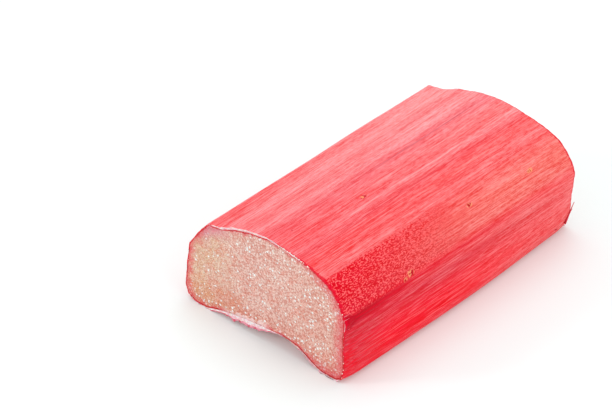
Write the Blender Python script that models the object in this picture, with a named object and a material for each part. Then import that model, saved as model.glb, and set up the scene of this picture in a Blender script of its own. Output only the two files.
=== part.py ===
"""A cut length of rhubarb stalk, lying on its grooved underside.

The stalk runs along X, from the near knife cut at -X to the far one at +X. Y is across it and Z is up from
the surface it lies on. The origin is the middle of the bottom of its box. It grew as one piece, so it is one
solid: a D-shaped section with ribs along its rounded back, two narrow flat feet and a groove between them.

Run it with: blender --background --python part.py
"""

import math

import bmesh
import bpy
from mathutils import Matrix, Vector

MM = 0.001

# Driving dimensions, in millimetres.
WIDTH = 32.4  # across the two sides
HEIGHT = 18.9  # from the surface to the crown rib
LENGTH = 51.9  # between the furthest points of the two cuts

# Rib crests over the back, from the left side to the right, as (across, up): shares of half the width and
# of the height, measured from the middle of the section on the surface.
RIB_CRESTS = (
    (1.000, 0.125),
    (0.945, 0.545),
    (0.700, 0.830),
    (0.360, 0.920),
    (-0.040, 1.000),
    (-0.440, 0.970),
    (-0.765, 0.886),
    (-0.898, 0.778),
    (-0.990, 0.595),
    (-1.000, 0.140),
)
# How far the skin bows out between neighbouring ribs, as a share of the height. A minus is a shallow valley.
BOWS = (0.006, 0.008, -0.022, 0.010, 0.012, 0.008, 0.010, 0.012, -0.008)
CREST_EASINGS = 2  # times the back is eased, which rounds the rib crests

# The underside, left to right, in the same shares. Both feet are flat and lie on the surface.
LEFT_FOOT = ((0.865, 0.0), (0.730, 0.0))
GROOVE = ((0.555, 0.050), (0.300, 0.093), (0.010, 0.122), (-0.240, 0.140), (-0.430, 0.115), (-0.560, 0.055))
RIGHT_FOOT = ((-0.720, 0.0), (-0.905, 0.0))
HEEL_BOW = 0.035  # how far the rounded heels bow out, as a share of the height

# The foot of the right side moves in towards the far cut, and a little beside each cut.
FOOT_TUCK = 1.5  # at the far cut
TUCK_START = 0.4  # where it starts, as a share of the length from the near cut
TUCK_POWER = 1.4
CORNER_TUCK = 0.5  # at each cut
CORNER_REACH = 3.5  # how far from a cut it fades out

# Each knife cut: its swing about Z and its lean about Y, in degrees.
NEAR_CUT = (0.0, 0.0)
FAR_CUT = (4.7, 3.6)
OVERHANG = 1.08  # length of the uncut bar, as a share of the stalk's length

STEPS_SPAN = 10  # points on each rib-to-rib span
STEPS_HEEL = 8  # points on each heel
STEPS_GROOVE = 6  # points between neighbours of the groove
STATIONS = 18  # steps along the bar, shorter towards the cuts

SKIN_RED = (0.80, 0.055, 0.075, 1.0)
SKIN_ROUGHNESS = 0.42


def clear_scene():
    for item in list(bpy.data.objects):
        bpy.data.objects.remove(item, do_unlink=True)


def at(share):
    """A section point in millimetres, from its shares of half the width and of the height."""
    return Vector((share[0] * WIDTH / 2, share[1] * HEIGHT))


def between(start, end, steps, bow):
    """Points from start up to but not including end, on a parabola that bows out by the given distance."""
    along = end - start
    outwards = Vector((along.y, -along.x)).normalized()
    for i in range(steps):
        t = i / steps
        yield start + along * t + outwards * (bow * 4 * t * (1 - t))


def catmull_rom(points, steps):
    """Points of a smooth curve through the inner points. The first and last points only steer it."""
    for before, start, end, after in zip(points, points[1:], points[2:], points[3:]):
        for i in range(steps):
            t = i / steps
            yield 0.5 * (
                2 * start
                + (end - before) * t
                + (2 * before - 5 * start + 4 * end - after) * t**2
                + (3 * start - before - 3 * end + after) * t**3
            )


def eased(points):
    """The same points with each inner one halfway to the middle of its neighbours, which rounds corners."""
    inner = [(a + 2 * b + c) / 4 for a, b, c in zip(points, points[1:], points[2:])]
    return [points[0], *inner, points[-1]]


def back_curve():
    """From the left foot up the left side, over the ribs and down to the right foot."""
    crests = [at(crest) for crest in RIB_CRESTS]
    left_heel, right_heel = at(LEFT_FOOT[0]), at(RIGHT_FOOT[1])
    back = list(between(left_heel, crests[0], STEPS_HEEL, HEEL_BOW * HEIGHT))
    for start, end, bow in zip(crests, crests[1:], BOWS):
        back += between(start, end, STEPS_SPAN, bow * HEIGHT)
    back += between(crests[-1], right_heel, STEPS_HEEL, HEEL_BOW * HEIGHT)
    back.append(right_heel)
    for _ in range(CREST_EASINGS):
        back = eased(back)
    return back


def groove_curve():
    """From the inner edge of the right foot through the groove to that of the left foot, level at both."""
    start, end = at(RIGHT_FOOT[0]), at(LEFT_FOOT[1])
    inner = [at(point) for point in reversed(GROOVE)]
    before = Vector((2 * start.x - inner[0].x, 0.0))
    after = Vector((2 * end.x - inner[-1].x, 0.0))
    curve = catmull_rom([before, start, *inner, end, after], STEPS_GROOVE)
    return [Vector((point.x, max(point.y, 0.0))) for point in curve] + [end]


def add_bar(bm):
    """Extrudes the section into a bar that is a little longer than the stalk."""
    stops = [-math.cos(math.pi * i / STATIONS) * OVERHANG * LENGTH / 2 for i in range(STATIONS + 1)]
    ring = [bm.verts.new((stops[0], p.x, p.y)) for p in back_curve() + groove_curve()]
    edges = [bm.edges.new(pair) for pair in zip(ring, ring[1:] + ring[:1])]
    for stop, following in zip(stops, stops[1:]):
        extruded = bmesh.ops.extrude_edge_only(bm, edges=edges)["geom"]
        edges = [item for item in extruded if isinstance(item, bmesh.types.BMEdge)]
        verts = [item for item in extruded if isinstance(item, bmesh.types.BMVert)]
        bmesh.ops.translate(bm, verts=verts, vec=(following - stop, 0, 0))
    for face in bm.faces:
        face.smooth = True


def tuck(place):
    """How far a point of the right side moves in: more the lower it is and the nearer to the far cut."""
    widest = at(RIB_CRESTS[-2])
    low = max(0.0, 1 - place.z / widest.y)
    rightness = min(1.0, max(0.0, place.y / widest.x))
    from_start = (place.x / LENGTH + 0.5 - TUCK_START) / (1 - TUCK_START)
    from_cut = max(0.0, LENGTH / 2 - abs(place.x))
    distance = FOOT_TUCK * min(1.0, max(0.0, from_start)) ** TUCK_POWER
    distance += CORNER_TUCK * max(0.0, 1 - from_cut / CORNER_REACH) ** 2
    return distance * low * rightness


def knife(bm, x, cut, side):
    """Cuts the bar at x and fills the new end. side is -1 at the near end and 1 at the far end."""
    swing, lean = (math.radians(angle) for angle in cut)
    turn = Matrix.Rotation(swing, 3, "Z") @ Matrix.Rotation(-lean, 3, "Y")
    result = bmesh.ops.bisect_plane(
        bm,
        geom=bm.verts[:] + bm.edges[:] + bm.faces[:],
        dist=1e-4,
        plane_co=(x, 0, HEIGHT / 2),
        plane_no=turn @ Vector((side, 0, 0)),
        clear_outer=True,
    )
    rim = [item for item in result["geom_cut"] if isinstance(item, bmesh.types.BMEdge)]
    cap = bmesh.ops.contextual_create(bm, geom=rim)["faces"][0]
    cap.smooth = False
    for edge in cap.edges:
        edge.smooth = False


def to_origin(verts):
    """The move that puts the middle of the bottom of their box at the origin."""
    low = Vector(min(vert.co[axis] for vert in verts) for axis in range(3))
    high = Vector(max(vert.co[axis] for vert in verts) for axis in range(3))
    return -Vector(((low.x + high.x) / 2, (low.y + high.y) / 2, low.z))


def stalk_mesh():
    bm = bmesh.new()
    add_bar(bm)
    for vert in bm.verts:
        vert.co.y += tuck(vert.co)

    # The far cut leans back from its furthest point, at the lower right, so its middle is nearer.
    swing_back = math.tan(math.radians(FAR_CUT[0])) * (WIDTH / 2 - FOOT_TUCK)
    lean_back = math.tan(math.radians(FAR_CUT[1])) * HEIGHT / 2
    knife(bm, -LENGTH / 2, NEAR_CUT, -1)
    knife(bm, LENGTH / 2 - swing_back - lean_back, FAR_CUT, 1)
    bmesh.ops.recalc_face_normals(bm, faces=bm.faces)
    bmesh.ops.translate(bm, verts=bm.verts, vec=to_origin(bm.verts))
    bmesh.ops.scale(bm, verts=bm.verts, vec=(MM, MM, MM))
    mesh = bpy.data.meshes.new("rhubarb_stalk")
    bm.to_mesh(mesh)
    bm.free()
    return mesh


def skin_material():
    material = bpy.data.materials.new("stalk_skin")
    material.use_nodes = True
    shader = material.node_tree.nodes["Principled BSDF"]
    shader.inputs["Base Color"].default_value = SKIN_RED
    shader.inputs["Roughness"].default_value = SKIN_ROUGHNESS
    shader.inputs["Metallic"].default_value = 0.0
    return material


def main():
    clear_scene()
    stalk = bpy.data.objects.new("rhubarb_stalk", stalk_mesh())
    stalk.data.materials.append(skin_material())
    bpy.context.scene.collection.objects.link(stalk)


main()
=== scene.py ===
import math
import random

import bmesh
import bpy
from mathutils import Matrix, Vector, noise
from mathutils.kdtree import KDTree


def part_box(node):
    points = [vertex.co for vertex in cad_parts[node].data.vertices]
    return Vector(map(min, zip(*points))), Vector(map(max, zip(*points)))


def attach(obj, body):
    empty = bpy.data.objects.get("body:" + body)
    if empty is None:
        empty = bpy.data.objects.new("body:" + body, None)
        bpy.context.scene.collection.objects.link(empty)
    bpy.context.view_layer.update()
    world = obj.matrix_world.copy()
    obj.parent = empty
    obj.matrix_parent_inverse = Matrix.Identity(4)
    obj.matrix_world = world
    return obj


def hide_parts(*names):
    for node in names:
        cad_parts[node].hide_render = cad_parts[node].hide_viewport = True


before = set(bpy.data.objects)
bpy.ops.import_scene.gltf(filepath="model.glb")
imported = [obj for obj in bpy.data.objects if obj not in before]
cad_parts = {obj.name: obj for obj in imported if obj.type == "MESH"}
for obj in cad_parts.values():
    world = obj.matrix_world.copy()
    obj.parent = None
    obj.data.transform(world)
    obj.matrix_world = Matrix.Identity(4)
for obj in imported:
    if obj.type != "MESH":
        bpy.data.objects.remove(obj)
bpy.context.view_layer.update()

mm = 0.001
low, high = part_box("rhubarb_stalk")
halfWidth = (high.y - low.y) / 2
height = high.z - low.z
length = high.x - low.x
print(f"frame loaded: stalk of {length / mm:.1f} x {2 * halfWidth / mm:.1f} x {height / mm:.1f} mm")


def easeBetween(value, start, end):
    # 0 before start and 1 after end, smoothly
    t = min(1.0, max(0.0, (value - start) / (end - start)))
    return t * t * (3 - 2 * t)


def finishPiece(bm, name, materials, smooth=True):
    for face in bm.faces:
        face.smooth = smooth
    mesh = bpy.data.meshes.new(name)
    bm.to_mesh(mesh)
    bm.free()
    piece = bpy.data.objects.new(name, mesh)
    for material in materials:
        mesh.materials.append(material)
    bpy.context.scene.collection.objects.link(piece)
    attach(piece, "root")
    print(f"{name}: {len(mesh.polygons)} faces")
    return piece


def newVerts(items):
    return [item for item in items if isinstance(item, bmesh.types.BMVert)]


def newEdges(items):
    return [item for item in items if isinstance(item, bmesh.types.BMEdge)]


stalkShape = {
    # rib crests over the back, left to right, as shares of half the width and of the height
    "ribs": (
        (1.000, 0.125), (0.945, 0.545), (0.700, 0.830), (0.360, 0.920), (-0.040, 1.000),
        (-0.440, 0.970), (-0.765, 0.886), (-0.898, 0.778), (-0.990, 0.595), (-1.000, 0.140),
    ),
    # how far the skin bows out between neighbouring ribs, as a share of the height
    "bows": (0.006, 0.008, -0.022, 0.010, 0.012, 0.008, 0.010, 0.012, -0.008),
    "rightHeel": (-0.975, 0.035),
    # the underside, right foot to left foot
    "under": (
        (-0.905, 0.0), (-0.720, 0.0), (-0.560, 0.055), (-0.430, 0.115), (-0.240, 0.140),
        (0.010, 0.122), (0.300, 0.093), (0.555, 0.050), (0.730, 0.0), (0.865, 0.0),
    ),
    "leftHeel": (0.960, 0.035),
    "pointGap": 0.26 * mm,
    "softenings": 1,  # rounds the rib crests
    "step": 0.55 * mm,  # between rings along the stalk
    "fineStep": 0.2 * mm,  # the same, beside a cut
    "fineReach": 3.0 * mm,
    "footTuck": 1.5 * mm,  # the right foot moves in towards the far cut
    "tuckStart": 0.4,
    "tuckPower": 1.4,
    "cornerTuck": 0.5 * mm,
    "cornerReach": 3.5 * mm,
    "farSwing": 4.7,  # degrees about Z
    "farLean": 3.6,  # degrees about Y
}

cutFaces = {
    "nearGrid": 0.21 * mm,
    "farGrid": 0.32 * mm,
    "edgeBevel": 0.07 * mm,
    "skinLine": 0.22 * mm,  # the red line that the skin's thickness draws around a cut
    "skinLineRight": 0.22 * mm,  # wider by this at the right shoulder
    "lineShown": (-117, 138),  # degrees; the torn film hides the rest of the line
    "lineWidens": (20, 70),
    "lineNarrows": (72, 80),
    "lineRagged": 0.7,
    "raggedSize": 0.7 * mm,
    "edgeDrop": 0.02 * mm,  # the skin's edge lies behind the flesh
    "dropWidth": 0.12 * mm,
    "cellSize": 0.42 * mm,
    "cellHeight": 0.07 * mm,
    "waveSize": 6.0 * mm,
    "waveHeight": 0.10 * mm,
    "calmRim": 0.5 * mm,  # the cells and waves fade out this close to the skin
}

skinRelief = {
    "ribWidth": 1.3 * mm,
    "ribHeight": 0.05 * mm,
    "fibreWidth": 0.55 * mm,
    "fibreHeight": 0.022 * mm,
    "fibreLength": 40 * mm,
    "swellSize": 14 * mm,
    "swellHeight": 0.10 * mm,
    "wander": 0.5,  # degrees that a furrow strays sideways
    "wanderLength": 9 * mm,
    "furrowFade": (0.05, 0.1),  # shares of the length past each end and before it, over which a furrow fades
    "knobFoot": 1.4,  # how wide a knob spreads, in times its size
    "frayReach": 0.7 * mm,  # the skin is lifted and uneven this close to a cut
    "frayHeight": 0.05 * mm,
    "fraySizes": (0.9 * mm, 0.35 * mm),
}

# long lines in the skin: degrees from straight up, from and to as shares of the length, depth, width in
# degrees, colour and how strongly it shows; a minus depth makes a raised thread, and the one with no depth is
# painted shade
furrows = (
    {"angle": 0.8, "start": 0.42, "end": 0.97, "depth": 0.07 * mm, "width": 0.8,
     "colour": (176, 66, 88), "show": 0.42},
    {"angle": 29.0, "start": -0.1, "end": 1.1, "depth": 0.05 * mm, "width": 0.7,
     "colour": (226, 36, 60), "show": 0.28},
    # painted highlight: the pale colours of the raised threads here are laid along their crests
    {"angle": 22.5, "start": 0.12, "end": 1.1, "depth": -0.05 * mm, "width": 1.0,
     "colour": (255, 186, 186), "show": 0.34},
    {"angle": 13.0, "start": 0.30, "end": 0.9, "depth": -0.04 * mm, "width": 0.8,
     "colour": (255, 190, 190), "show": 0.30},
    {"angle": 36.0, "start": 0.45, "end": 1.1, "depth": -0.04 * mm, "width": 0.6,
     "colour": (255, 176, 166), "show": 0.26},
    {"angle": -9.0, "start": 0.30, "end": 0.62, "depth": 0.06 * mm, "width": 0.6,
     "colour": (206, 30, 56), "show": 0.40},
    {"angle": -27.0, "start": 0.10, "end": 0.95, "depth": 0.07 * mm, "width": 0.8,
     "colour": (222, 70, 88), "show": 0.35},
    {"angle": 71.5, "start": -0.1, "end": 0.75, "depth": 0.05 * mm, "width": 1.3,
     "colour": (234, 0, 54), "show": 0.45},
    {"angle": 71.5, "start": -0.1, "end": 0.20, "depth": 0.02 * mm, "width": 4.0,
     "colour": (218, 6, 46), "show": 0.85},
    {"angle": 73.0, "start": -0.1, "end": 0.07, "depth": 0.01 * mm, "width": 4.5,
     "colour": (188, 0, 36), "show": 1.00},
    # painted shade: a broad darker patch over the right side beside the near cut
    {"angle": 92.0, "start": -0.1, "end": 0.06, "depth": 0.0, "width": 22.0,
     "colour": (176, 44, 62), "show": 0.42},
    # painted highlight along a raised thread
    {"angle": 83.0, "start": 0.05, "end": 0.60, "depth": -0.04 * mm, "width": 0.8,
     "colour": (246, 130, 138), "show": 0.20},
    {"angle": -84.0, "start": 0.10, "end": 0.90, "depth": 0.07 * mm, "width": 1.0,
     "colour": (214, 30, 56), "show": 0.35},
)

# places where the skin stands up beside a cut: along in shares of the length, degrees, size and rise
knobs = (
    {"along": 0.972, "angle": -25.0, "size": 1.1 * mm, "rise": 0.42 * mm},
    {"along": 0.985, "angle": -47.0, "size": 1.0 * mm, "rise": 0.15 * mm},
    {"along": 0.990, "angle": -3.0, "size": 1.2 * mm, "rise": 0.12 * mm},
    {"along": 0.990, "angle": 38.0, "size": 1.0 * mm, "rise": 0.12 * mm},
    {"along": 0.010, "angle": 73.0, "size": 0.9 * mm, "rise": 0.14 * mm},
)

# small scars and pits in the skin: place along in shares of the length, degrees from straight up, size
blemishes = (
    {"along": 0.333, "angle": 16.4, "radius": 0.50 * mm, "depth": 0.05 * mm, "tone": 0.80},
    {"along": 0.280, "angle": 68.0, "radius": 0.65 * mm, "depth": 0.07 * mm, "tone": 0.30},
    {"along": 0.255, "angle": 69.5, "radius": 0.40 * mm, "depth": 0.05 * mm, "tone": 0.35},
    {"along": 0.016, "angle": 73.0, "radius": 1.60 * mm, "depth": 0.05 * mm, "tone": 1.15},
    {"along": 0.825, "angle": 56.9, "radius": 0.50 * mm, "depth": 0.05 * mm, "tone": 0.45},
    {"along": 0.573, "angle": 54.7, "radius": 0.45 * mm, "depth": 0.03 * mm, "tone": 0.55},
    {"along": 0.300, "angle": -95.0, "radius": 0.60 * mm, "depth": 0.06 * mm, "tone": 0.7},
    {"along": 0.700, "angle": -60.0, "radius": 0.45 * mm, "depth": 0.05 * mm, "tone": 0.9},
)
scarShape = {"squash": 0.8, "wobble": 0.35, "wobbleSize": 0.4 * mm, "edgeSharpness": 1.6}

hubHeight = 6 * mm  # angles around the skin are taken about this height on the middle line


def sectionCorners():
    ribs = [Vector((y * halfWidth, z * height)) for y, z in stalkShape["ribs"]]
    corners = []
    for start, end, bow in zip(ribs, ribs[1:], stalkShape["bows"]):
        across = end - start
        outwards = Vector((across.y, -across.x)).normalized()
        corners += [start, (start + end) / 2 + outwards * bow * height]
    corners.append(ribs[-1])
    rest = [stalkShape["rightHeel"], *stalkShape["under"], stalkShape["leftHeel"]]
    return corners + [Vector((y * halfWidth, z * height)) for y, z in rest]


def ringShares():
    # where the rings lie between the two cuts, 0 to 1, closer together beside a cut
    shares, place = [0.0], 0.0
    while place < length / 2:
        fine = place < stalkShape["fineReach"]
        place += stalkShape["fineStep" if fine else "step"]
        shares.append(min(place / length, 0.5))
    return shares + [1 - share for share in reversed(shares[:-1])]


def cutPlanes():
    # a point on each knife cut and its outward normal
    swing, lean = (math.radians(stalkShape[key]) for key in ("farSwing", "farLean"))
    farX = high.x - math.tan(swing) * (halfWidth - stalkShape["footTuck"]) - math.tan(lean) * height / 2
    farTurn = Matrix.Rotation(swing, 3, "Z") @ Matrix.Rotation(-lean, 3, "Y")
    return {
        "near": (Vector((low.x, 0, height / 2)), Vector((-1, 0, 0))),
        "far": (Vector((farX, 0, height / 2)), farTurn @ Vector((1, 0, 0))),
    }


def planeX(plane, vert):
    place, normal = plane
    return place.x - ((vert.co.y - place.y) * normal.y + (vert.co.z - place.z) * normal.z) / normal.x


def makeBar(bm, planes):
    verts = [bm.verts.new((0, corner.x, corner.y)) for corner in sectionCorners()]
    edges = [bm.edges.new(pair) for pair in zip(verts, verts[1:] + verts[:1])]
    for edge in edges:
        cuts = round(edge.calc_length() / stalkShape["pointGap"]) - 1
        if cuts > 0:
            bmesh.ops.subdivide_edges(bm, edges=[edge], cuts=cuts)
    for _ in range(stalkShape["softenings"]):
        bmesh.ops.smooth_vert(bm, verts=bm.verts, factor=0.5, use_axis_y=True, use_axis_z=True)
    nearRim = edges = bm.edges[:]
    shares = ringShares()
    for share, following in zip(shares, shares[1:]):
        extruded = bmesh.ops.extrude_edge_only(bm, edges=edges)["geom"]
        edges = newEdges(extruded)
        bmesh.ops.translate(bm, verts=newVerts(extruded), vec=(following - share, 0, 0))
    for vert in bm.verts:
        # every ring leans between the planes of the two cuts
        start, end = planeX(planes["near"], vert), planeX(planes["far"], vert)
        vert.co.x = start + (end - start) * vert.co.x
        vert.co.y += footTuck(vert.co)
    return {"near": nearRim, "far": edges}


def footTuck(place):
    shape = stalkShape
    ribY, ribZ = shape["ribs"][-2]
    lowness = max(0.0, 1 - place.z / (ribZ * height))
    rightness = min(1.0, max(0.0, place.y / (ribY * halfWidth)))
    fromStart = ((place.x - low.x) / length - shape["tuckStart"]) / (1 - shape["tuckStart"])
    fromCut = max(0.0, min(place.x - low.x, high.x - place.x))
    tuck = shape["footTuck"] * min(1.0, max(0.0, fromStart)) ** shape["tuckPower"]
    tuck += shape["cornerTuck"] * max(0.0, 1 - fromCut / shape["cornerReach"]) ** 2
    return tuck * lowness * rightness


def gridFace(bm, faces, spacing):
    # slices a flat face into small squares, so that it can be shaped
    for axis in (Vector((0, 0, 1)), Vector((0, 1, 0))):
        reach = [vert.co.dot(axis) for face in faces for vert in face.verts]
        start, end = min(reach), max(reach)
        count = int((end - start) / spacing)
        waiting, finished = faces, []
        for i in range(count):
            offset = start + (i + 0.63) * (end - start) / count
            verts = {vert for face in waiting for vert in face.verts}
            edges = {edge for face in waiting for edge in face.edges}
            sliced = bmesh.ops.bisect_plane(
                bm, geom=[*verts, *edges, *waiting], dist=0.002 * mm, plane_co=axis * offset, plane_no=axis
            )["geom"]
            waiting = []
            for piece in sliced:
                if isinstance(piece, bmesh.types.BMFace):
                    ahead = piece.calc_center_median().dot(axis) > offset
                    (waiting if ahead else finished).append(piece)
        faces = finished + waiting
    return faces


def makeCap(bm, rim, spacing):
    cap = bmesh.ops.contextual_create(bm, geom=rim)["faces"][0]
    bmesh.ops.bevel(
        bm,
        geom=list(cap.edges),
        offset=cutFaces["edgeBevel"],
        segments=2,
        profile=0.5,
        affect="EDGES",
        material=-1,
    )
    cap = max(bm.faces, key=lambda face: len(face.verts))
    for face in gridFace(bm, [cap], spacing):
        face.material_index = 1


def capParts(bm, side):
    # the faces of one cut and the verts that they share with the skin
    onSide = (lambda x: x < 0) if side == "near" else (lambda x: x > 0)
    faces = {face for face in bm.faces if face.material_index == 1 and onSide(face.verts[0].co.x)}
    verts = {vert for face in faces for vert in face.verts}
    rim = [vert for vert in verts if any(face not in faces for face in vert.link_faces)]
    return faces, rim


def skinAngle(place):
    return math.degrees(math.atan2(-place.y, place.z - hubHeight))


def furrowEnds(furrow):
    # from and to where it fades in, and from and to where it fades out
    outside, inside = skinRelief["furrowFade"]
    start, end = furrow["start"], furrow["end"]
    return (start - outside, start + inside), (end - inside, end + outside)


def skinHeight(place, cutGap):
    relief = skinRelief
    across = Vector((0, place.y, place.z))
    along = Vector((place.x / relief["fibreLength"], 0, 0))
    ribs = noise.noise(across / relief["ribWidth"] + along)
    fibres = noise.noise(across / relief["fibreWidth"] + along * 2.3 + Vector((7, 0, 0)))
    swell = noise.noise(place / relief["swellSize"] + Vector((0, 0, 3)))
    rise = relief["ribHeight"] * ribs + relief["fibreHeight"] * fibres + relief["swellHeight"] * swell

    angle, share = skinAngle(place), (place.x - low.x) / length
    for furrow in furrows:
        stray = noise.noise(Vector((place.x / relief["wanderLength"], furrow["angle"], 0)))
        sideways = abs(angle - furrow["angle"] - relief["wander"] * stray) / furrow["width"]
        if sideways < 1:
            fadeIn, fadeOut = furrowEnds(furrow)
            ends = easeBetween(share, *fadeIn) * (1 - easeBetween(share, *fadeOut))
            rise -= furrow["depth"] * ends * (1 - easeBetween(sideways, 0, 1))

    for knob in knobs:
        along = (share - knob["along"]) * length
        around = math.radians(angle - knob["angle"]) * math.hypot(place.y, place.z - hubHeight)
        gap = math.hypot(along, around) / knob["size"]
        rise += knob["rise"] * (1 - easeBetween(gap, 0, relief["knobFoot"]))

    fray = 1 - easeBetween(cutGap, 0, relief["frayReach"])
    if fray:
        coarse, fine = relief["fraySizes"]
        rise += relief["frayHeight"] * fray * (noise.noise(place / coarse) + 0.4 * noise.noise(place / fine))
    return rise


def blemishAt(place):
    # how deep a point is inside the nearest blemish, 0 to 1, and that blemish
    share, angle = (place.x - low.x) / length, skinAngle(place)
    wobble = 1 + scarShape["wobble"] * noise.noise(place / scarShape["wobbleSize"])
    for blemish in blemishes:
        along = (share - blemish["along"]) * length
        radius = math.hypot(place.y, place.z - hubHeight)
        around = math.radians(angle - blemish["angle"]) * radius
        gap = math.hypot(along * scarShape["squash"], around) * wobble / blemish["radius"]
        if gap < 1:
            return 1 - gap, blemish
    return 0.0, None


def cutHeight(place, rimGap):
    look = cutFaces
    cells, _ = noise.voronoi(place / look["cellSize"])
    bumps = 0.5 - min(1.0, cells[0] * 1.3)
    waves = noise.noise(place / look["waveSize"] + Vector((5, 2, 0)))
    calm = easeBetween(rimGap, 0, look["calmRim"])
    rise = calm * (look["cellHeight"] * bumps + look["waveHeight"] * waves)
    return rise - look["edgeDrop"] * (1 - easeBetween(rimGap, 0, look["dropWidth"]))


def skinThickness(place):
    look, angle = cutFaces, skinAngle(place)
    first, last = look["lineShown"]
    if angle < first or angle > last:
        return 0.0
    narrowing = easeBetween(angle, *look["lineNarrows"])
    wide = easeBetween(angle, *look["lineWidens"]) * (1 - narrowing)
    ragged = 1 + look["lineRagged"] * noise.noise(place / look["raggedSize"])
    return (look["skinLine"] * (1 - 0.5 * narrowing) + look["skinLineRight"] * wide) * ragged


def makeStalk(materials):
    bm = bmesh.new()
    planes = cutPlanes()
    barEnds = makeBar(bm, planes)
    for side, edges in barEnds.items():
        makeCap(bm, edges, cutFaces[side + "Grid"])
    bmesh.ops.recalc_face_normals(bm, faces=bm.faces)
    bm.normal_update()

    rimLayer = bm.verts.layers.float.new("rimGap")  # from the skin, on a cut face, in mm
    cutLayer = bm.verts.layers.float.new("cutGap")  # from the nearest cut, on the skin, in mm
    scarLayer = bm.verts.layers.float.new("scar")
    toneLayer = bm.verts.layers.float.new("scarTone")
    moves, rims = {}, {}
    capVerts = set()
    for side in ("near", "far"):
        faces, rims[side] = capParts(bm, side)
        rimTree = KDTree(len(rims[side]))
        for i, vert in enumerate(rims[side]):
            rimTree.insert(vert.co, i)
        rimTree.balance()
        _, normal = planes[side]
        for face in faces:
            for vert in face.verts:
                if vert in capVerts:
                    continue
                capVerts.add(vert)
                rimGap = rimTree.find(vert.co)[2]
                vert[rimLayer] = rimGap / mm
                moves[vert] = normal * cutHeight(vert.co, rimGap)
            if max(vert[rimLayer] for vert in face.verts) * mm < skinThickness(face.calc_center_median()):
                face.material_index = 0
    for vert in bm.verts:
        cutGap = min(abs((vert.co - place).dot(normal)) for place, normal in planes.values())
        if vert in capVerts:
            if vert[rimLayer] < 0.01:
                across = Vector((0, vert.normal.y, vert.normal.z)).normalized()
                moves[vert] += across * skinHeight(vert.co, 0)
            continue
        vert[cutLayer] = cutGap / mm
        depth, blemish = blemishAt(vert.co)
        rise = skinHeight(vert.co, cutGap)
        if blemish:
            vert[scarLayer] = min(1.0, depth * scarShape["edgeSharpness"])
            vert[toneLayer] = blemish["tone"]
            rise -= blemish["depth"] * math.sin(depth * math.pi * 1.5)
        moves[vert] = vert.normal * rise
    for vert, move in moves.items():
        vert.co += move
    for vert in bm.verts:
        vert.co.z = max(vert.co.z, 0.0)

    rimPaths = {
        side: sorted((vert.co.copy() for vert in rim), key=skinAngle) for side, rim in rims.items()
    }
    piece = finishPiece(bm, "stalk_body", materials)
    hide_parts("rhubarb_stalk")
    return piece, rimPaths


# how strongly the studio lights each surface, and how much of it shines off without colour
skinLight = {"level": 1.08, "shine": 0.009}
fleshLight = {"level": 0.93, "shine": 0.04}


def tint(colour, light=skinLight):
    # the material colour that looks like this sRGB colour, 0 to 255, under the studio light
    channels = [channel / 255 for channel in colour]
    seen = [c / 12.92 if c <= 0.04045 else ((c + 0.055) / 1.055) ** 2.4 for c in channels]
    return (*(min(1.0, max(0.0, c - light["shine"]) / light["level"]) for c in seen), 1.0)


def setInput(tree, socket, value):
    if isinstance(value, bpy.types.NodeSocket):
        tree.links.new(value, socket)
    elif value is not None:
        socket.default_value = value


def addNode(tree, kind, inputs=None, **settings):
    node = tree.nodes.new(kind)
    for name, value in settings.items():
        setattr(node, name, value)
    for name, value in (inputs or {}).items():
        setInput(tree, node.inputs[name], value)
    return node


def calc(tree, operation, first, second=None, third=None, clamp=False):
    node = addNode(tree, "ShaderNodeMath", operation=operation, use_clamp=clamp)
    for socket, value in zip(node.inputs, (first, second, third)):
        setInput(tree, socket, value)
    return node.outputs[0]


def spread(tree, value, fromLow, fromHigh, toLow=0.0, toHigh=1.0):
    inputs = {"Value": value, "From Min": fromLow, "From Max": fromHigh, "To Min": toLow, "To Max": toHigh}
    return addNode(tree, "ShaderNodeMapRange", inputs, interpolation_type="SMOOTHSTEP").outputs["Result"]


def blendColours(tree, amount, first, second, mode="MIX"):
    node = addNode(tree, "ShaderNodeMix", data_type="RGBA", blend_type=mode)
    setInput(tree, node.inputs[0], amount)
    setInput(tree, node.inputs[6], first)
    setInput(tree, node.inputs[7], second)
    return node.outputs[2]


def colourBands(tree, position, stops):
    # stops are (position, colour), in order
    node = addNode(tree, "ShaderNodeValToRGB", {"Fac": position})
    elements = node.color_ramp.elements
    while len(elements) < len(stops):
        elements.new(0.5)
    for element, (place, colour) in zip(elements, stops):
        element.position = place
        element.color = colour
    return node.outputs["Color"]


def newGroup(name, inputs, outputs):
    tree = bpy.data.node_groups.new(name, "ShaderNodeTree")
    for label, kind, value in inputs:
        socket = tree.interface.new_socket(name=label, in_out="INPUT", socket_type="NodeSocket" + kind)
        if value is not None:
            socket.default_value = value
    for label, kind in outputs:
        tree.interface.new_socket(name=label, in_out="OUTPUT", socket_type="NodeSocket" + kind)
    return tree, tree.nodes.new("NodeGroupInput").outputs, tree.nodes.new("NodeGroupOutput").inputs


def useGroup(tree, group, **inputs):
    node = tree.nodes.new("ShaderNodeGroup")
    node.node_tree = group
    for name, value in inputs.items():
        setInput(tree, node.inputs[name], value)
    return node.outputs


def newMaterial(name, **shaderValues):
    material = bpy.data.materials.new(name)
    material.use_nodes = True
    tree = material.node_tree
    shader = tree.nodes["Principled BSDF"]
    for label, value in shaderValues.items():
        shader.inputs[label.replace("_", " ")].default_value = value
    return material, tree, shader


def times(tree, *factors):
    product = factors[0]
    for factor in factors[1:]:
        product = calc(tree, "MULTIPLY", product, factor)
    return product


def centred(tree, value, width):
    # a noise value laid out from minus half of width to plus half
    return calc(tree, "MULTIPLY_ADD", value, width, -width / 2)


def cloudNoise(tree, place, scale):
    return addNode(tree, "ShaderNodeTexNoise", {"Vector": place, "Scale": scale, "Detail": 2.0}).outputs[0]


def readAttribute(tree, name):
    return addNode(tree, "ShaderNodeAttribute", attribute_name=name).outputs["Fac"]


def objectPlace(tree):
    place = addNode(tree, "ShaderNodeTexCoord").outputs["Object"]
    return place, addNode(tree, "ShaderNodeSeparateXYZ", {"Vector": place}).outputs


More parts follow.
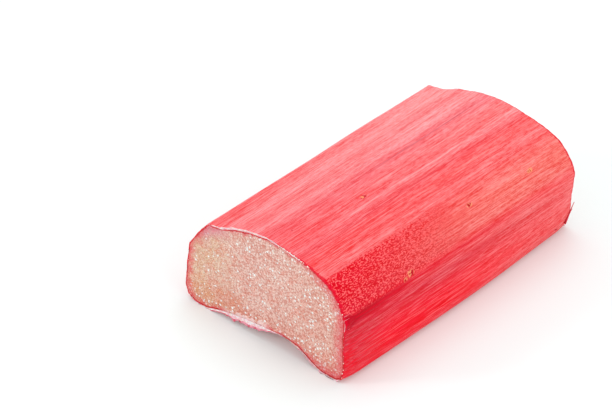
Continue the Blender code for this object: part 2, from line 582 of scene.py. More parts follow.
def layTone(tree, colour, mask, look, light=skinLight):
    # lays a tone over the colour, where the mask is; look holds the tone and how strongly it shows
    tone, show = look
    return blendColours(tree, times(tree, mask, show), colour, tint(tone, light))


def addBump(tree, shader, rises, depth, strength):
    bump = addNode(tree, "ShaderNodeBump", {"Height": rises, "Distance": depth, "Strength": strength})
    tree.links.new(bump.outputs["Normal"], shader.inputs["Normal"])


def countedIn(tree, vector, longSize, size):
    # a place counted in steps of these sizes, along the stalk and across it
    sizes = addNode(tree, "ShaderNodeCombineXYZ", {"X": longSize, "Y": size, "Z": size}).outputs[0]
    return addNode(tree, "ShaderNodeVectorMath", {0: vector, 1: sizes}, operation="DIVIDE").outputs[0]


def cellPattern(tree, given):
    # how far it is to the middle of the nearest cell, and chances that differ from cell to cell
    place = countedIn(tree, given["Vector"], given["Size"], given["Size"])
    cells = addNode(tree, "ShaderNodeTexVoronoi", {"Vector": place, "Scale": 1.0}).outputs
    chances = addNode(tree, "ShaderNodeSeparateColor", {"Color": cells["Color"]}).outputs
    return cells["Distance"], chances


# lengthwise lines, as wide as Width and as long as Length
def streakGroup():
    tree, given, made = newGroup(
        "lengthwiseStreaks",
        (
            ("Vector", "Vector", None),
            ("Width", "Float", 0.5 * mm),
            ("Length", "Float", 20 * mm),
            ("Sharpness", "Float", 0.5),
        ),
        (("Mask", "Float"),),
    )
    place = countedIn(tree, given["Vector"], given["Length"], given["Width"])
    lines = addNode(tree, "ShaderNodeTexNoise", {"Vector": place, "Scale": 1.0, "Detail": 2.5}).outputs[0]
    edge = calc(tree, "MULTIPLY_ADD", given["Sharpness"], -0.25, 0.27)
    dark, pale = calc(tree, "SUBTRACT", 0.5, edge), calc(tree, "ADD", 0.5, edge)
    tree.links.new(spread(tree, lines, dark, pale), made["Mask"])
    return tree


# packed round cells of about Size: Cells is 1 in the middle of each and Shade differs from cell to cell
def cellGroup():
    tree, given, made = newGroup(
        "packedCells",
        (("Vector", "Vector", None), ("Size", "Float", 0.4 * mm)),
        (("Cells", "Float"), ("Shade", "Float")),
    )
    gap, chances = cellPattern(tree, given)
    tree.links.new(spread(tree, gap, 0.75, 0.1), made["Cells"])
    tree.links.new(chances[0], made["Shade"])
    return tree


# scattered dots: Amount is the share of the cells that hold one, Radius is a share of a cell
def dotGroup():
    tree, given, made = newGroup(
        "scatteredDots",
        (
            ("Vector", "Vector", None),
            ("Size", "Float", 1.0 * mm),
            ("Radius", "Float", 0.2),
            ("Amount", "Float", 0.3),
        ),
        (("Mask", "Float"),),
    )
    gap, chances = cellPattern(tree, given)
    grown = times(tree, given["Radius"], calc(tree, "ADD", chances[1], 0.5))
    dot = spread(tree, gap, grown, times(tree, grown, 0.45))
    chosen = calc(tree, "LESS_THAN", chances[0], given["Amount"])
    tree.links.new(times(tree, dot, chosen), made["Mask"])
    return tree


groups = {"streaks": streakGroup(), "cells": cellGroup(), "dots": dotGroup()}
print("node groups built")


def streakMask(tree, place, width, long, sharpness):
    streaks = useGroup(tree, groups["streaks"], Vector=place, Width=width, Length=long, Sharpness=sharpness)
    return streaks["Mask"]


# skin tones by the angle from straight up, right side positive, at the near cut and at the far one; the paler
# pink of the upper faces is mostly painted sheen on the red skin
skinTonesAndSheen = (
    (-180, (224, 120, 112), (232, 140, 128)),
    (-128, (222, 112, 108), (230, 130, 122)),
    (-118, (232, 66, 76), (240, 90, 92)),
    (-95, (234, 56, 68), (248, 92, 96)),
    (-72, (236, 66, 76), (250, 104, 106)),
    (-66, (230, 50, 64), (246, 96, 100)),
    (-50, (247, 100, 104), (251, 139, 142)),
    (-33, (251, 132, 136), (252, 146, 148)),
    (-24, (249, 112, 116), (250, 130, 134)),
    (-10, (250, 126, 130), (252, 152, 155)),
    (0, (244, 96, 104), (246, 116, 124)),
    (10, (248, 104, 110), (251, 130, 133)),
    (18, (249, 96, 102), (251, 117, 119)),
    (23, (249, 112, 118), (251, 132, 135)),
    (28, (244, 88, 96), (249, 102, 107)),
    (34, (250, 88, 93), (251, 100, 102)),
    (43, (250, 108, 111), (251, 112, 114)),
    (46.5, (249, 104, 108), (251, 108, 109)),
    (47.5, (240, 20, 48), (250, 112, 110)),
    (58, (236, 0, 44), (252, 118, 110)),
    (66, (232, 0, 46), (252, 121, 114)),
    (70, (242, 0, 46), (252, 88, 90)),
    (75, (230, 26, 54), (255, 102, 104)),
    (80, (232, 52, 67), (255, 110, 112)),
    (90, (250, 44, 60), (255, 103, 106)),
    (96, (255, 36, 52), (255, 103, 105)),
    (106, (255, 44, 60), (255, 106, 108)),
    (114, (224, 64, 72), (240, 100, 100)),
    (124, (222, 116, 110), (230, 130, 122)),
    (180, (224, 120, 112), (232, 140, 128)),
)

skinLook = {
    "shader": {
        "Specular_IOR_Level": 0.07,
        "IOR": 1.42,
        "Subsurface_Weight": 0.12,
        "Subsurface_Radius": (1.0, 0.25, 0.2),
        "Subsurface_Scale": 1.0 * mm,
    },
    # width and length of the fibres in mm, how crisp they are, and how strongly they show at each cut
    "fibres": {
        "hair": (0.11, 4.0, 1.0, 0.32, 0.20),
        "thread": (0.32, 8.0, 0.8, 0.11, 0.08),
        "band": (1.00, 30.0, 0.5, 0.14, 0.18),
        "dash": (0.20, 0.8, 1.0, 0.15, 0.21),
        "mottle": (0.60, 1.3, 0.2, 0.10, 0.12),
    },
    "fibreFade": (0.05, 0.65),  # shares of the length between which they change from near to far
    "redDimming": (0.30, 0.60, 0.93, 1.0),  # from a dark fibre to a pale one, and how far each dims the red
    # pale fibres: partly the skin's paler fibres, partly painted highlight on their raised crests
    "paleFibreHighlight": ((255, 178, 178), 0.22),  # the colour and how strongly it shows, as in the other pairs
    "paleOnGrain": 0.1,  # the share of the pale fibres that is left on the grainy stretch
    "darkFibre": ((214, 20, 46), 0.05),
    # how far tones and furrows stray sideways, in turns: 0.25 is the left side, 0.5 the top, 0.75 the right
    "wanderScale": 60.0,
    "toneWander": 0.004,
    "furrowWander": 0.006,
    "facet": ((0.625, 0.632), (0.70, 0.688)),  # the edges of the stretch between the two sharp ribs, in turns
    "facetFar": 0.6,  # it has its far tones from this share of the far half on
    "rightSide": (0.712, 0.722),
    "rightFar": (0.3, 1.1),  # it changes to its far tones between these shares of the near and the far half
    "grainFade": (0.60, 0.20),  # the grain on the facet, in shares of the length
    "grainWidth": 0.18 * mm,
    "grainLength": 0.36 * mm,
    "grainSharpness": 0.4,
    "grainParts": {"pale": (0.60, 0.84), "dark": (0.36, 0.14)},  # values of its noise where each fades in
    "paleGrain": ((255, 116, 118), 0.85),
    "darkGrain": ((208, 0, 36), 0.55),
    "pits": {"Size": 1.7 * mm, "Radius": 0.10, "Amount": 0.12},
    "pit": ((214, 20, 46), 0.6),
    "scarPale": (250, 158, 116),
    "scarDark": (200, 0, 44),
    "scarShow": 0.95,
    "scarSpeckle": 0.34 * mm,
    # the knife's bruise along the skin's edge: the turns between which it widens, and the two widths in mm,
    # then the turns between which it is narrow again, and the share that is left
    "bruiseWidens": (0.53, 0.68, 0.04, 0.48),
    "bruiseShrinks": (0.73, 0.705, 0.15, 1.0),
    "bruiseFar": 0.40,  # the share of that width at the far cut
    "bruiseFarMore": 0.10,  # mm added there
    "bruiseSoft": 0.06,
    "bruise": ((230, 0, 52), 0.85),
    "roughness": (0.36, 0.52),
    "bumpDepth": 0.05 * mm,
    "bump": 0.35,
}


def skinMaterial():
    look = skinLook
    material, tree, shader = newMaterial("stalkSkin", **look["shader"])
    place, axes = objectPlace(tree)

    # the angle from straight up, as a share of a full turn
    overHub = calc(tree, "SUBTRACT", axes["Z"], hubHeight)
    angle = calc(tree, "ARCTAN2", calc(tree, "MULTIPLY", axes["Y"], -1.0), overHub)
    wander = cloudNoise(tree, place, look["wanderScale"])
    turn = calc(tree, "MULTIPLY_ADD", angle, 1 / (2 * math.pi), 0.5)
    turn = calc(tree, "ADD", turn, centred(tree, wander, look["toneWander"]))
    along = spread(tree, axes["X"], low.x, high.x)
    # the tone bands carry the painted sheen of the upper faces
    nearTones = colourBands(tree, turn, [(0.5 + degrees / 360, tint(near)) for degrees, near, _ in skinTonesAndSheen])
    farTones = colourBands(tree, turn, [(0.5 + degrees / 360, tint(far)) for degrees, _, far in skinTonesAndSheen])
    facetStart, facetEnd = look["facet"]
    onFacet = times(tree, spread(tree, turn, *facetStart), spread(tree, turn, *facetEnd))
    sooner = calc(tree, "SUBTRACT", spread(tree, axes["X"], low.x, high.x * look["facetFar"]), along)
    farness = calc(tree, "MULTIPLY_ADD", sooner, onFacet, along)
    rightStart, rightEnd = look["rightFar"]
    later = calc(tree, "SUBTRACT", spread(tree, axes["X"], low.x * rightStart, high.x * rightEnd), along)
    farness = calc(tree, "MULTIPLY_ADD", later, spread(tree, turn, *look["rightSide"]), farness)
    colour = blendColours(tree, farness, nearTones, farTones)

    # fibres of several widths make the tone richer or paler
    masks, grey = {}, 0.5
    for name, (width, long, sharpness, nearShow, farShow) in look["fibres"].items():
        masks[name] = streakMask(tree, place, width * mm, long * mm, sharpness)
        strength = spread(tree, along, *look["fibreFade"], nearShow, farShow)
        grey = calc(tree, "MULTIPLY_ADD", calc(tree, "SUBTRACT", masks[name], 0.5), strength, grey)
    greyColour = addNode(tree, "ShaderNodeCombineColor", {"Red": 0.5, "Green": grey, "Blue": grey}).outputs[0]
    colour = blendColours(tree, 1.0, colour, greyColour, "SOFT_LIGHT")
    dimmed = spread(tree, grey, *look["redDimming"])
    dimColour = addNode(tree, "ShaderNodeCombineColor", {"Red": dimmed, "Green": 1.0, "Blue": 1.0}).outputs[0]
    colour = blendColours(tree, 1.0, colour, dimColour, "MULTIPLY")

    # single pale fibres, partly painted highlight on their raised crests, fewer on the grainy stretch, and
    # dark gaps
    grainy = times(tree, onFacet, spread(tree, along, *look["grainFade"]))
    paleTone, paleShow = look["paleFibreHighlight"]
    lines = times(tree, spread(tree, masks["hair"], 0.5, 1.0), masks["thread"])
    lines = times(tree, lines, spread(tree, grainy, 0.0, 1.0, paleShow, paleShow * look["paleOnGrain"]))
    colour = blendColours(tree, lines, colour, tint(paleTone))
    gaps = times(tree, spread(tree, masks["hair"], 0.3, 0.0), spread(tree, masks["band"], 0.6, 0.1))
    colour = layTone(tree, colour, gaps, look["darkFibre"])

    # raised threads, furrows and stains
    for furrow in furrows:
        centre, halfWide = 0.5 + furrow["angle"] / 360, furrow["width"] / 360
        middle = calc(tree, "MULTIPLY_ADD", wander, look["furrowWander"], centre - look["furrowWander"] / 2)
        off = calc(tree, "ABSOLUTE", calc(tree, "SUBTRACT", turn, middle))
        fadeIn, fadeOut = furrowEnds(furrow)
        onLine = times(
            tree,
            spread(tree, off, halfWide, halfWide * 0.3),
            spread(tree, along, *fadeIn),
            spread(tree, along, *reversed(fadeOut)),
            spread(tree, masks["thread"], 0.1, 0.6, 0.4, 1.0),
        )
        colour = layTone(tree, colour, onLine, (furrow["colour"], furrow["show"]))

    # the grain on the facet, strongest at the near cut
    worms = streakMask(tree, place, look["grainWidth"], look["grainLength"], look["grainSharpness"])
    grain = {
        name: times(tree, spread(tree, worms, *part), grainy) for name, part in look["grainParts"].items()
    }
    colour = layTone(tree, colour, grain["pale"], look["paleGrain"])
    colour = layTone(tree, colour, grain["dark"], look["darkGrain"])

    pits = useGroup(tree, groups["dots"], Vector=place, **look["pits"])["Mask"]
    colour = layTone(tree, colour, pits, look["pit"])

    scar, tone = readAttribute(tree, "scar"), readAttribute(tree, "scarTone")
    speckle = useGroup(tree, groups["cells"], Vector=place, Size=look["scarSpeckle"])["Shade"]
    darkness = spread(tree, calc(tree, "ADD", speckle, tone), 0.9, 1.1)
    scarTint = blendColours(tree, darkness, tint(look["scarPale"]), tint(look["scarDark"]))
    colour = blendColours(tree, times(tree, spread(tree, scar, 0.1, 0.6), look["scarShow"]), colour, scarTint)

    # the bruise is ragged, and widest beside the right shoulder
    wide = times(
        tree,
        spread(tree, turn, *look["bruiseWidens"]),
        spread(tree, turn, *look["bruiseShrinks"]),
        calc(tree, "MULTIPLY_ADD", masks["mottle"], 1.2, 0.4),
        spread(tree, along, 0.6, 0.4, look["bruiseFar"], 1.0),
    )
    wide = calc(tree, "MULTIPLY_ADD", spread(tree, along, 0.6, 0.9), look["bruiseFarMore"], wide)
    past = calc(tree, "SUBTRACT", readAttribute(tree, "cutGap"), wide)
    bruise = spread(tree, past, look["bruiseSoft"], -look["bruiseSoft"])
    colour = layTone(tree, colour, bruise, look["bruise"])
    tree.links.new(colour, shader.inputs["Base Color"])

    smooth, rough = look["roughness"]
    tree.links.new(spread(tree, masks["thread"], 0.0, 1.0, rough, smooth), shader.inputs["Roughness"])
    rises = calc(tree, "MULTIPLY_ADD", masks["thread"], 0.6, times(tree, masks["hair"], 0.4))
    rises = calc(tree, "ADD", rises, times(tree, grain["pale"], 0.3))
    addBump(tree, shader, calc(tree, "SUBTRACT", rises, pits), look["bumpDepth"], look["bump"])
    return material


fleshLook = {
    "shader": {
        "Coat_Weight": 0.3,
        "Coat_Roughness": 0.08,
        "Specular_IOR_Level": 0.3,
        "IOR": 1.38,
        "Subsurface_Weight": 0.12,
        "Subsurface_Radius": (1.0, 0.5, 0.4),
        "Subsurface_Scale": 0.3 * mm,
    },
    "driftScale": 180.0,  # two slow noises that shift the tones
    "cloudScale": 900.0,
    "sideDrift": 12 * mm,
    "lowDrift": 4 * mm,
    "middle": (236, 198, 187),
    "left": (225, 182, 161),
    "right": (233, 187, 174),
    # tones laid over those, and how strongly each shows
    "low": ((228, 158, 142), 0.75),
    "blush": ((230, 146, 128), 0.5),
    "amber": ((220, 132, 92), 1.0),
    "green": ((222, 196, 144), 0.30),
    "gap": ((194, 102, 84), 1.0),
    "pale": ((255, 236, 224), 0.65),
    # painted glints: near-white dots that stand for highlights on the wet cells
    "dot": ((255, 252, 248), 0.95),
    "lilac": ((220, 138, 152), 0.85),
    "ring": ((226, 84, 96), 0.85),
    "film": ((250, 222, 218), 0.8),
    "edge": (200, 4, 54),
    "topEdge": (204, 0, 30),
    "edgeShow": 0.95,
    # where some of them lie: an axis, and from where to where along it the tone fades in, in mm
    "areas": {
        "lowLeft": (("Z", 6.5, 3.5), ("Y", 2, 7)),
        "shoulder": (("Y", 5, 11), ("Z", 11, 15)),
        "topRight": (("Z", 6, 12), ("Y", -2, -8)),
        "underFilm": (("Z", 3.6, 3.1), ("Y", -4, -2), ("Y", 10, 8)),
        "film": (("Y", -1.5, 1), ("Y", 9.5, 6), ("Z", 6, 4), ("X", 0, -1)),
    },
    "cellSize": 0.36 * mm,
    "smallSize": 0.20 * mm,
    "gapShow": (0.60, 0.42),  # how strongly the gaps between cells show at the right and at the left
    "glintSize": 0.50 * mm,
    "glintRadius": 0.40,
    "glintAmount": 0.15,  # and as much again at the right, and at the bottom
    "leftRing": (8, 15, 0.9, 1.9),  # from where to where the pinker ring widens, and its two widths, in mm
    "rightRing": (-5, -14, 0.9, 2.9),
    "roughness": (0.18, 0.45),
    "bumpDepth": 0.10 * mm,
    "bump": 0.8,
}


def areaMask(tree, axes, name):
    limits = fleshLook["areas"][name]
    return times(tree, *(spread(tree, axes[axis], start * mm, end * mm) for axis, start, end in limits))


def ringWidth(tree, axes, limits):
    start, end, narrow, wide = limits
    return spread(tree, axes["Y"], start * mm, end * mm, narrow, wide)


def fleshMaterial():
    look = fleshLook
    material, tree, shader = newMaterial("cutFlesh", **look["shader"])
    place, axes = objectPlace(tree)
    rimGap = readAttribute(tree, "rimGap")

    def lay(colour, mask, name):
        return layTone(tree, colour, mask, look[name], fleshLight)

    drift, cloud = (cloudNoise(tree, place, look[key]) for key in ("driftScale", "cloudScale"))
    shifted = calc(tree, "ADD", axes["Y"], centred(tree, drift, look["sideDrift"]))
    leftness = spread(tree, shifted, 3 * mm, 11 * mm)
    rightness = spread(tree, shifted, -1 * mm, -9 * mm)
    colour = blendColours(tree, leftness, tint(look["middle"], fleshLight), tint(look["left"], fleshLight))
    colour = blendColours(tree, rightness, colour, tint(look["right"], fleshLight))
    shifted = calc(tree, "ADD", axes["Z"], centred(tree, cloud, look["lowDrift"]))
    lowness = spread(tree, shifted, 6 * mm, 2.5 * mm)
    colour = lay(colour, lowness, "low")
    colour = lay(colour, spread(tree, cloud, 0.48, 0.68), "blush")
    amber = times(tree, areaMask(tree, axes, "lowLeft"), spread(tree, cloud, 0.46, 0.60, 0.15, 0.75))
    colour = lay(colour, amber, "amber")
    colour = lay(colour, times(tree, leftness, spread(tree, drift, 0.56, 0.42)), "green")

    # packed cells: dark between them, pale in the middle, and near-white dots that are painted glints
    cells = useGroup(tree, groups["cells"], Vector=place, Size=look["cellSize"])
    small = useGroup(tree, groups["cells"], Vector=place, Size=look["smallSize"])
    gapShow = spread(tree, leftness, 0.0, 1.0, *look["gapShow"])
    colour = lay(colour, times(tree, spread(tree, cells["Cells"], 0.6, 0.1), gapShow), "gap")
    colour = lay(colour, times(tree, small["Cells"], spread(tree, small["Shade"], 0.4, 0.8)), "pale")
    share = look["glintAmount"]
    amount = calc(tree, "MULTIPLY_ADD", calc(tree, "ADD", rightness, lowness), share, share)
    # painted glints, more of them at the right and at the bottom
    dots = useGroup(
        tree, groups["dots"], Vector=place, Size=look["glintSize"], Radius=look["glintRadius"], Amount=amount
    )["Mask"]
    colour = lay(colour, dots, "dot")

    # the skin's thickness, seen on the cut: pinker at the sides, lilac at the left shoulder
    gap = calc(tree, "SUBTRACT", rimGap, centred(tree, cloud, 1.8))
    lilac = times(tree, areaMask(tree, axes, "shoulder"), spread(tree, gap, 2.8, 0.5))
    colour = lay(colour, lilac, "lilac")
    leftRing, rightRing = (ringWidth(tree, axes, look[key]) for key in ("leftRing", "rightRing"))
    ring = spread(tree, gap, calc(tree, "MAXIMUM", leftRing, rightRing), -0.3)
    colour = lay(colour, ring, "ring")

    # the torn film clings to the lower rim, then the red edge goes around everything but the film
    filmWidth = calc(tree, "MULTIPLY_ADD", cloud, 3.2, -0.95)
    filmEdge = spread(tree, calc(tree, "SUBTRACT", rimGap, filmWidth), 0.15, -0.15)
    colour = lay(colour, times(tree, areaMask(tree, axes, "film"), filmEdge), "film")
    topRight = areaMask(tree, axes, "topRight")
    edgeTint = blendColours(tree, topRight, tint(look["edge"], fleshLight), tint(look["topEdge"], fleshLight))
    edgeWidth = calc(tree, "MULTIPLY_ADD", cloud, 0.5, 0.08)
    edge = spread(tree, calc(tree, "DIVIDE", rimGap, edgeWidth), 1.0, 0.6)
    edge = times(tree, edge, spread(tree, areaMask(tree, axes, "underFilm"), 0.0, 1.0, 1.0, 0.1))
    colour = blendColours(tree, times(tree, edge, look["edgeShow"]), colour, edgeTint)
    tree.links.new(colour, shader.inputs["Base Color"])

    smooth, rough = look["roughness"]
    tree.links.new(spread(tree, small["Shade"], 0.0, 1.0, smooth, rough), shader.inputs["Roughness"])
    rises = calc(tree, "MULTIPLY_ADD", small["Cells"], 0.6, cells["Cells"])
    addBump(tree, shader, calc(tree, "ADD", rises, dots), look["bumpDepth"], look["bump"])
    return material


# thin skin and film that the knife tore along the near cut, in strips: from and to which angle, which way it
# is pushed and how far in mm, how ragged it is, and the shares of it over which it fades in and out; an angle
# past 180 is on the left again
tornEdges = {
    "torn_cuticle": (
        {"angles": (-51, 14), "push": (-0.5, 0.9, 0), "reach": 0.55,
         "ragged": 0.25, "fades": (0.15, 0.15), "seed": 1},
        {"angles": (4, 32), "push": (-0.9, 0.5, 0), "reach": 0.22,
         "ragged": 0.8, "fades": (0.15, 0.15), "seed": 2},
    ),
    "torn_film": (
        {"angles": (130, 250), "push": (-0.12, 0, -1), "reach": 0.90,
         "ragged": 0.45, "fades": (0.70, 0.15), "seed": 3},
        {"angles": (109, 124), "push": (-0.5, 0.4, -0.4), "reach": 0.22,
         "ragged": 0.9, "fades": (0.15, 0.15), "seed": 4},
        {"angles": (70, 77), "push": (-0.6, 0.8, 0), "reach": 0.32,
         "ragged": 1.0, "fades": (0.15, 0.15), "seed": 5},
    ),
    "jags": ((0.65, 0.9 * mm), (0.35, 0.3 * mm)),  # share and size of the coarse and fine jags
    "least": (0.05, 0.12),  # shares of the reach that stay where a strip fades, and between its jags
    "rows": 5,
    "hemRows": 2,  # the outermost of them, in the second material
    "flutter": 0.06 * mm,
    "flutterSize": 0.8 * mm,
    "thickness": 0.07 * mm,
    "lift": 0.004 * mm,  # times a strip's seed, which keeps strips that overlap apart
    "floorGap": 0.02 * mm,
    "skin": ((255, 238, 238), (250, 196, 202)),
    "hem": ((222, 60, 92), (240, 150, 168)),
}


def angleFrom(start, place):
    return start + (skinAngle(place) - start) % 360


def pushAt(strip, place):
    # how far and which way a point of the strip moves: along X, away from the middle, and up
    start, end = strip["angles"]
    share = (angleFrom(start, place) - start) / (end - start)
    fadeIn, fadeOut = strip["fades"]
    leastEnd, leastJag = tornEdges["least"]
    ends = max(leastEnd, easeBetween(share, 0, fadeIn) * (1 - easeBetween(share, 1 - fadeOut, 1)))
    spot = Vector((place.y, place.z, strip["seed"] * mm))
    jags = sum(part * noise.noise(spot / size) for part, size in tornEdges["jags"])
    reach = strip["reach"] * mm * ends * max(leastJag, 1 + strip["ragged"] * 2 * jags)
    forwards, outwards, upwards = strip["push"]
    away = Vector((0, place.y, place.z - hubHeight)).normalized()
    return (Vector((forwards, 0, upwards)) + away * outwards) * reach


def makeTornEdge(name, rimPaths, materials):
    bm = bmesh.new()
    rows = tornEdges["rows"]
    for strip in tornEdges[name]:
        start, end = strip["angles"]
        points = [place for place in rimPaths["near"] if angleFrom(start, place) <= end]
        points.sort(key=lambda place: angleFrom(start, place))
        lift = Vector((tornEdges["lift"] * strip["seed"], 0, 0))
        verts = [bm.verts.new(place - lift) for place in points]
        edges = [bm.edges.new(pair) for pair in zip(verts, verts[1:])]
        pushes = {tuple(vert.co.yz): pushAt(strip, vert.co) for vert in verts}
        for row in range(rows):
            extruded = bmesh.ops.extrude_edge_only(bm, edges=edges)["geom"]
            edges = newEdges(extruded)
            moved = {}
            for vert in newVerts(extruded):
                push = pushes[tuple(vert.co.yz)]
                wave = noise.noise(vert.co / tornEdges["flutterSize"] + Vector((row * 0.4, strip["seed"], 0)))
                vert.co += push / rows - Vector((tornEdges["flutter"] * wave * row / rows, 0, 0))
                vert.co.z = max(vert.co.z, tornEdges["floorGap"])
                moved[tuple(vert.co.yz)] = push
            pushes = moved
            if row >= rows - tornEdges["hemRows"]:
                for edge in edges:
                    for face in edge.link_faces:
                        face.material_index = 1
    doubled = bmesh.ops.extrude_face_region(bm, geom=bm.faces, use_keep_orig=True)["geom"]
    bmesh.ops.translate(bm, verts=newVerts(doubled), vec=(-tornEdges["thickness"], 0, 0))
    bmesh.ops.recalc_face_normals(bm, faces=bm.faces)
    return finishPiece(bm, name, materials)


juice = {
    # beads along the near cut: how many, from and to which angle, smallest and largest in mm
    "rimBeads": ((26, (8, 38), (0.07, 0.15)), (24, (58, 116), (0.04, 0.11))),
    "drops": {"near": 240, "far": 240},
    "dropRadius": (0.04, 0.11),
    "dropsLeft": 0.45,  # share of the drops that stays at the left, and all of them at the right
    "flatness": 0.7,
    "seed": 7,
    "red": ((196, 4, 36), (224, 40, 66)),
    "pale": ((255, 234, 224), (246, 206, 192)),
}


def addDrop(bm, place, radius, materialIndex=0, squash=1.0):
    turn = Matrix.Translation(place) @ Matrix.Diagonal((squash, 1, 1, 1))
    single = bmesh.new()
    bmesh.ops.create_uvsphere(single, u_segments=8, v_segments=5, radius=radius, matrix=turn)
    for face in single.faces:
        face.material_index = materialIndex
    shape = bpy.data.meshes.new("drop")
    single.to_mesh(shape)
    single.free()
    bm.from_mesh(shape)
    bpy.data.meshes.remove(shape)


def makeRimBeads(rimPaths, materials):
    pick = random.Random(juice["seed"])
    bm = bmesh.new()
    for count, (start, end), sizes in juice["rimBeads"]:
        run = [place for place in rimPaths["near"] if start <= skinAngle(place) <= end]
        for i in range(count):
            place = run[int((i + pick.random()) / count * (len(run) - 1))]
            radius = pick.uniform(*sizes) * mm
            offset = Vector((-0.04, pick.uniform(-0.08, 0.08), pick.uniform(-0.12, 0.06))) * mm
            centre = place + offset
            centre.z = max(centre.z, radius)
            addDrop(bm, centre, radius, i % 2)
    return finishPiece(bm, "rim_beads", materials)


def makeDrops(body, material):
    # tiny drops of juice that sit on the cut cells
    pick = random.Random(juice["seed"] + 1)
    bm = bmesh.new()
    mesh = body.data
    for side, sign in (("near", -1), ("far", 1)):
        spots = [
            face
            for face in mesh.polygons
            if face.material_index == 1 and face.center.x * sign > 0 and face.normal.x * sign > 0.7
        ]
        # slicing leaves the faces in a different order each time, so they are sorted before the draw
        spots.sort(key=lambda face: sorted(tuple(mesh.vertices[i].co) for i in face.vertices))
        for face in pick.sample(spots, juice["drops"][side]):
            rightness = easeBetween(-face.center.y, -6 * mm, 10 * mm)
            if pick.random() > juice["dropsLeft"] + (1 - juice["dropsLeft"]) * rightness:
                continue
            radius = pick.uniform(*juice["dropRadius"]) * mm * pick.uniform(0.6, 1.0)
            addDrop(bm, face.center + Vector((sign * radius * 0.1, 0, 0)), radius, 0, juice["flatness"])
    return finishPiece(bm, "juice_drops", [material])


looseFibres = {
    # where each starts (mm from the middle of the bottom), how far it reaches, its width and how far it bends
    "redStrands": (
        {"start": (24.7, -14.75, 1.5), "reach": (1.3, -0.8, 3.4), "width": 0.40, "bend": 0.22},
        {"start": (25.2, -14.8, 2.4), "reach": (0.9, -0.3, 1.2), "width": 0.20, "bend": 0.10},
        {"start": (22.1, -14.95, 1.8), "reach": (0.3, -0.25, 0.1), "width": 0.28, "bend": 0.02},
        {"start": (24.2, -14.2, 1.1), "reach": (0.7, -0.5, -0.1), "width": 0.26, "bend": 0.08},
        {"start": (24.0, 9.0, 1.0), "reach": (0.8, 0.3, -0.5), "width": 0.14, "bend": 0.12},
    ),
    "paleStrands": (
        {"start": (-25.8, -15.72, 12.3), "reach": (1.1, -0.25, 0.15), "width": 0.13, "bend": 0.05},
        {"start": (-25.8, -15.82, 11.7), "reach": (0.9, -0.22, -0.05), "width": 0.11, "bend": 0.07},
        {"start": (-25.7, -15.90, 10.9), "reach": (1.0, -0.20, 0.25), "width": 0.12, "bend": 0.05},
        {"start": (-25.6, -15.92, 9.9), "reach": (0.7, -0.18, -0.10), "width": 0.10, "bend": 0.04},
        {"start": (-25.6, -15.88, 7.2), "reach": (0.6, -0.25, 0.15), "width": 0.12, "bend": 0.03},
    ),
    "steps": 7,
    "taper": 0.84,  # from one step to the next
    "red": ((200, 8, 40), (226, 60, 84)),
}


def makeFibres(materials):
    bm = bmesh.new()
    steps, taper = looseFibres["steps"], [looseFibres["taper"]] * 3
    strands = [(strand, 0) for strand in looseFibres["redStrands"]]
    strands += [(strand, 1) for strand in looseFibres["paleStrands"]]
    for strand, materialIndex in strands:
        earlier = set(bm.faces)
        start, reach = Vector(strand["start"]) * mm, Vector(strand["reach"]) * mm
        side = reach.cross(Vector((0, 0, 1))).normalized()
        turn = reach.to_track_quat("Z", "Y").to_matrix().to_4x4()
        foot = Matrix.Translation(start) @ turn
        ring = bmesh.ops.create_circle(
            bm, segments=6, radius=strand["width"] / 2 * mm, matrix=foot, cap_ends=True
        )["verts"]
        face = next(face for face in bm.faces if all(vert in ring for vert in face.verts))
        edges = list(face.edges)
        for i in range(steps):
            extruded = bmesh.ops.extrude_edge_only(bm, edges=edges)["geom"]
            edges, verts = newEdges(extruded), newVerts(extruded)
            t = (i + 1) / steps
            bend = side * strand["bend"] * mm * (math.cos(t * math.pi) - math.cos((t - 1 / steps) * math.pi))
            bmesh.ops.translate(bm, verts=verts, vec=reach / steps + bend)
            middle = sum((vert.co for vert in verts), Vector()) / len(verts)
            bmesh.ops.scale(bm, verts=verts, vec=taper, space=Matrix.Translation(-middle))
        bmesh.ops.contextual_create(bm, geom=edges)
        for face in set(bm.faces) - earlier:
            face.material_index = materialIndex
    bmesh.ops.recalc_face_normals(bm, faces=bm.faces)
    return finishPiece(bm, "loose_fibres", materials)


def wetMaterial(name, tones, light, cellSize, **shaderValues):
    # a small wet thing in two tones
    material, tree, shader = newMaterial(name, **shaderValues)
    place, _ = objectPlace(tree)
    shade = useGroup(tree, groups["cells"], Vector=place, Size=cellSize)["Shade"]
    cloud = cloudNoise(tree, place, 0.5 / cellSize)
    mixed = blendColours(tree, spread(tree, cloud, 0.38, 0.62), *(tint(tone, light) for tone in tones))
    tree.links.new(mixed, shader.inputs["Base Color"])
    tree.links.new(spread(tree, shade, 0.0, 1.0, 0.12, 0.35), shader.inputs["Roughness"])
    return material


stageLook = {
    "floorSize": 3.0,
    "floor": {
        "Base_Color": (0.755, 0.812, 0.808, 1.0),
        "Roughness": 0.6,
        "Emission_Color": (1.0, 1.0, 1.0, 1.0),
        "Emission_Strength": 0.12,  # a light table's faint light through the floor
    },
    "skyStrength": 0.88,
    "lights": {
        "topSoftbox": {"place": (0.14, 0.06, 0.60), "size": 0.60, "power": 1.0},
        "leftLamp": {"place": (-0.42, 0.34, 0.30), "size": 0.12, "power": 0.62},
        "rightFill": {"place": (-0.05, -0.60, 0.28), "size": 0.35, "power": 0.62},
    },
}


def makeFloor():
    bm = bmesh.new()
    bmesh.ops.create_grid(bm, x_segments=1, y_segments=1, size=stageLook["floorSize"] / 2)
    mesh = bpy.data.meshes.new("floor")
    bm.to_mesh(mesh)
    bm.free()
    floor = bpy.data.objects.new("floor", mesh)
    bpy.context.scene.collection.objects.link(floor)
    material, _, _ = newMaterial("paleFloor", **stageLook["floor"])
    mesh.materials.append(material)


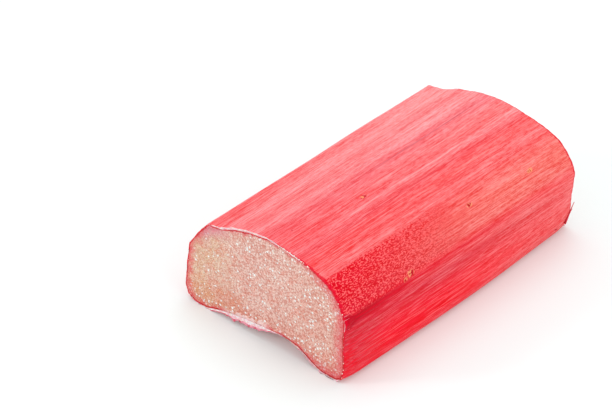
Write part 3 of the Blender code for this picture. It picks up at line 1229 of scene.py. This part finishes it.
def makeLights():
    world = bpy.data.worlds.new("studio")
    world.use_nodes = True
    background = world.node_tree.nodes["Background"]
    background.inputs["Color"].default_value = (1.0, 1.0, 1.0, 1.0)
    background.inputs["Strength"].default_value = stageLook["skyStrength"]
    bpy.context.scene.world = world
    target = Vector((0, 0, height / 2))
    for name, look in stageLook["lights"].items():
        data = bpy.data.lights.new(name, "AREA")
        data.shape = "DISK"
        data.size = look["size"]
        data.energy = look["power"]
        lamp = bpy.data.objects.new(name, data)
        lamp.location = look["place"]
        lamp.rotation_euler = (target - lamp.location).to_track_quat("-Z", "Y").to_euler()
        bpy.context.scene.collection.objects.link(lamp)


cameraView = {
    "aim": Vector((-4.42, 11.57, 7.25)) * mm,  # the point in the middle of the frame
    "distance": 0.9,
    "swing": 47.25,  # degrees that the stalk's axis turns away from the line of sight, to the right
    "elevation": 36.0,
    "lens": 353.0,
}


def makeCamera():
    swing, elevation = math.radians(cameraView["swing"]), math.radians(cameraView["elevation"])
    flat = math.cos(elevation)
    sight = Vector((math.sin(swing) * flat, math.cos(swing) * flat, -math.sin(elevation)))
    data = bpy.data.cameras.new("camera")
    data.lens = cameraView["lens"]
    camera = bpy.data.objects.new("camera", data)
    camera.location = cameraView["aim"] - sight * cameraView["distance"]
    camera.rotation_euler = sight.to_track_quat("-Z", "Y").to_euler()
    bpy.context.scene.collection.objects.link(camera)
    bpy.context.scene.camera = camera


makeFloor()
makeLights()
makeCamera()
bpy.context.scene.view_settings.view_transform = "Standard"
print("floor, light and camera set")

skin = skinMaterial()
flesh = fleshMaterial()
film = wetMaterial(
    "tornSkin", tornEdges["skin"], skinLight, 0.35 * mm, Subsurface_Weight=0.3, Subsurface_Scale=0.3 * mm
)
hem = wetMaterial("tornHem", tornEdges["hem"], skinLight, 0.35 * mm)
redJuice = wetMaterial("redJuice", juice["red"], skinLight, 0.3 * mm, Coat_Weight=0.5)
paleJuice = wetMaterial("paleJuice", juice["pale"], fleshLight, 0.3 * mm, Coat_Weight=0.6)
fibre = wetMaterial("redFibre", looseFibres["red"], skinLight, 0.5 * mm)
print("materials built")

body, rimPaths = makeStalk([skin, flesh])
makeTornEdge("torn_cuticle", rimPaths, [film, film])
makeTornEdge("torn_film", rimPaths, [film, hem])
makeRimBeads(rimPaths, [redJuice, paleJuice])
makeDrops(body, paleJuice)
makeFibres([fibre, hem])
print("stalk and torn pieces made")
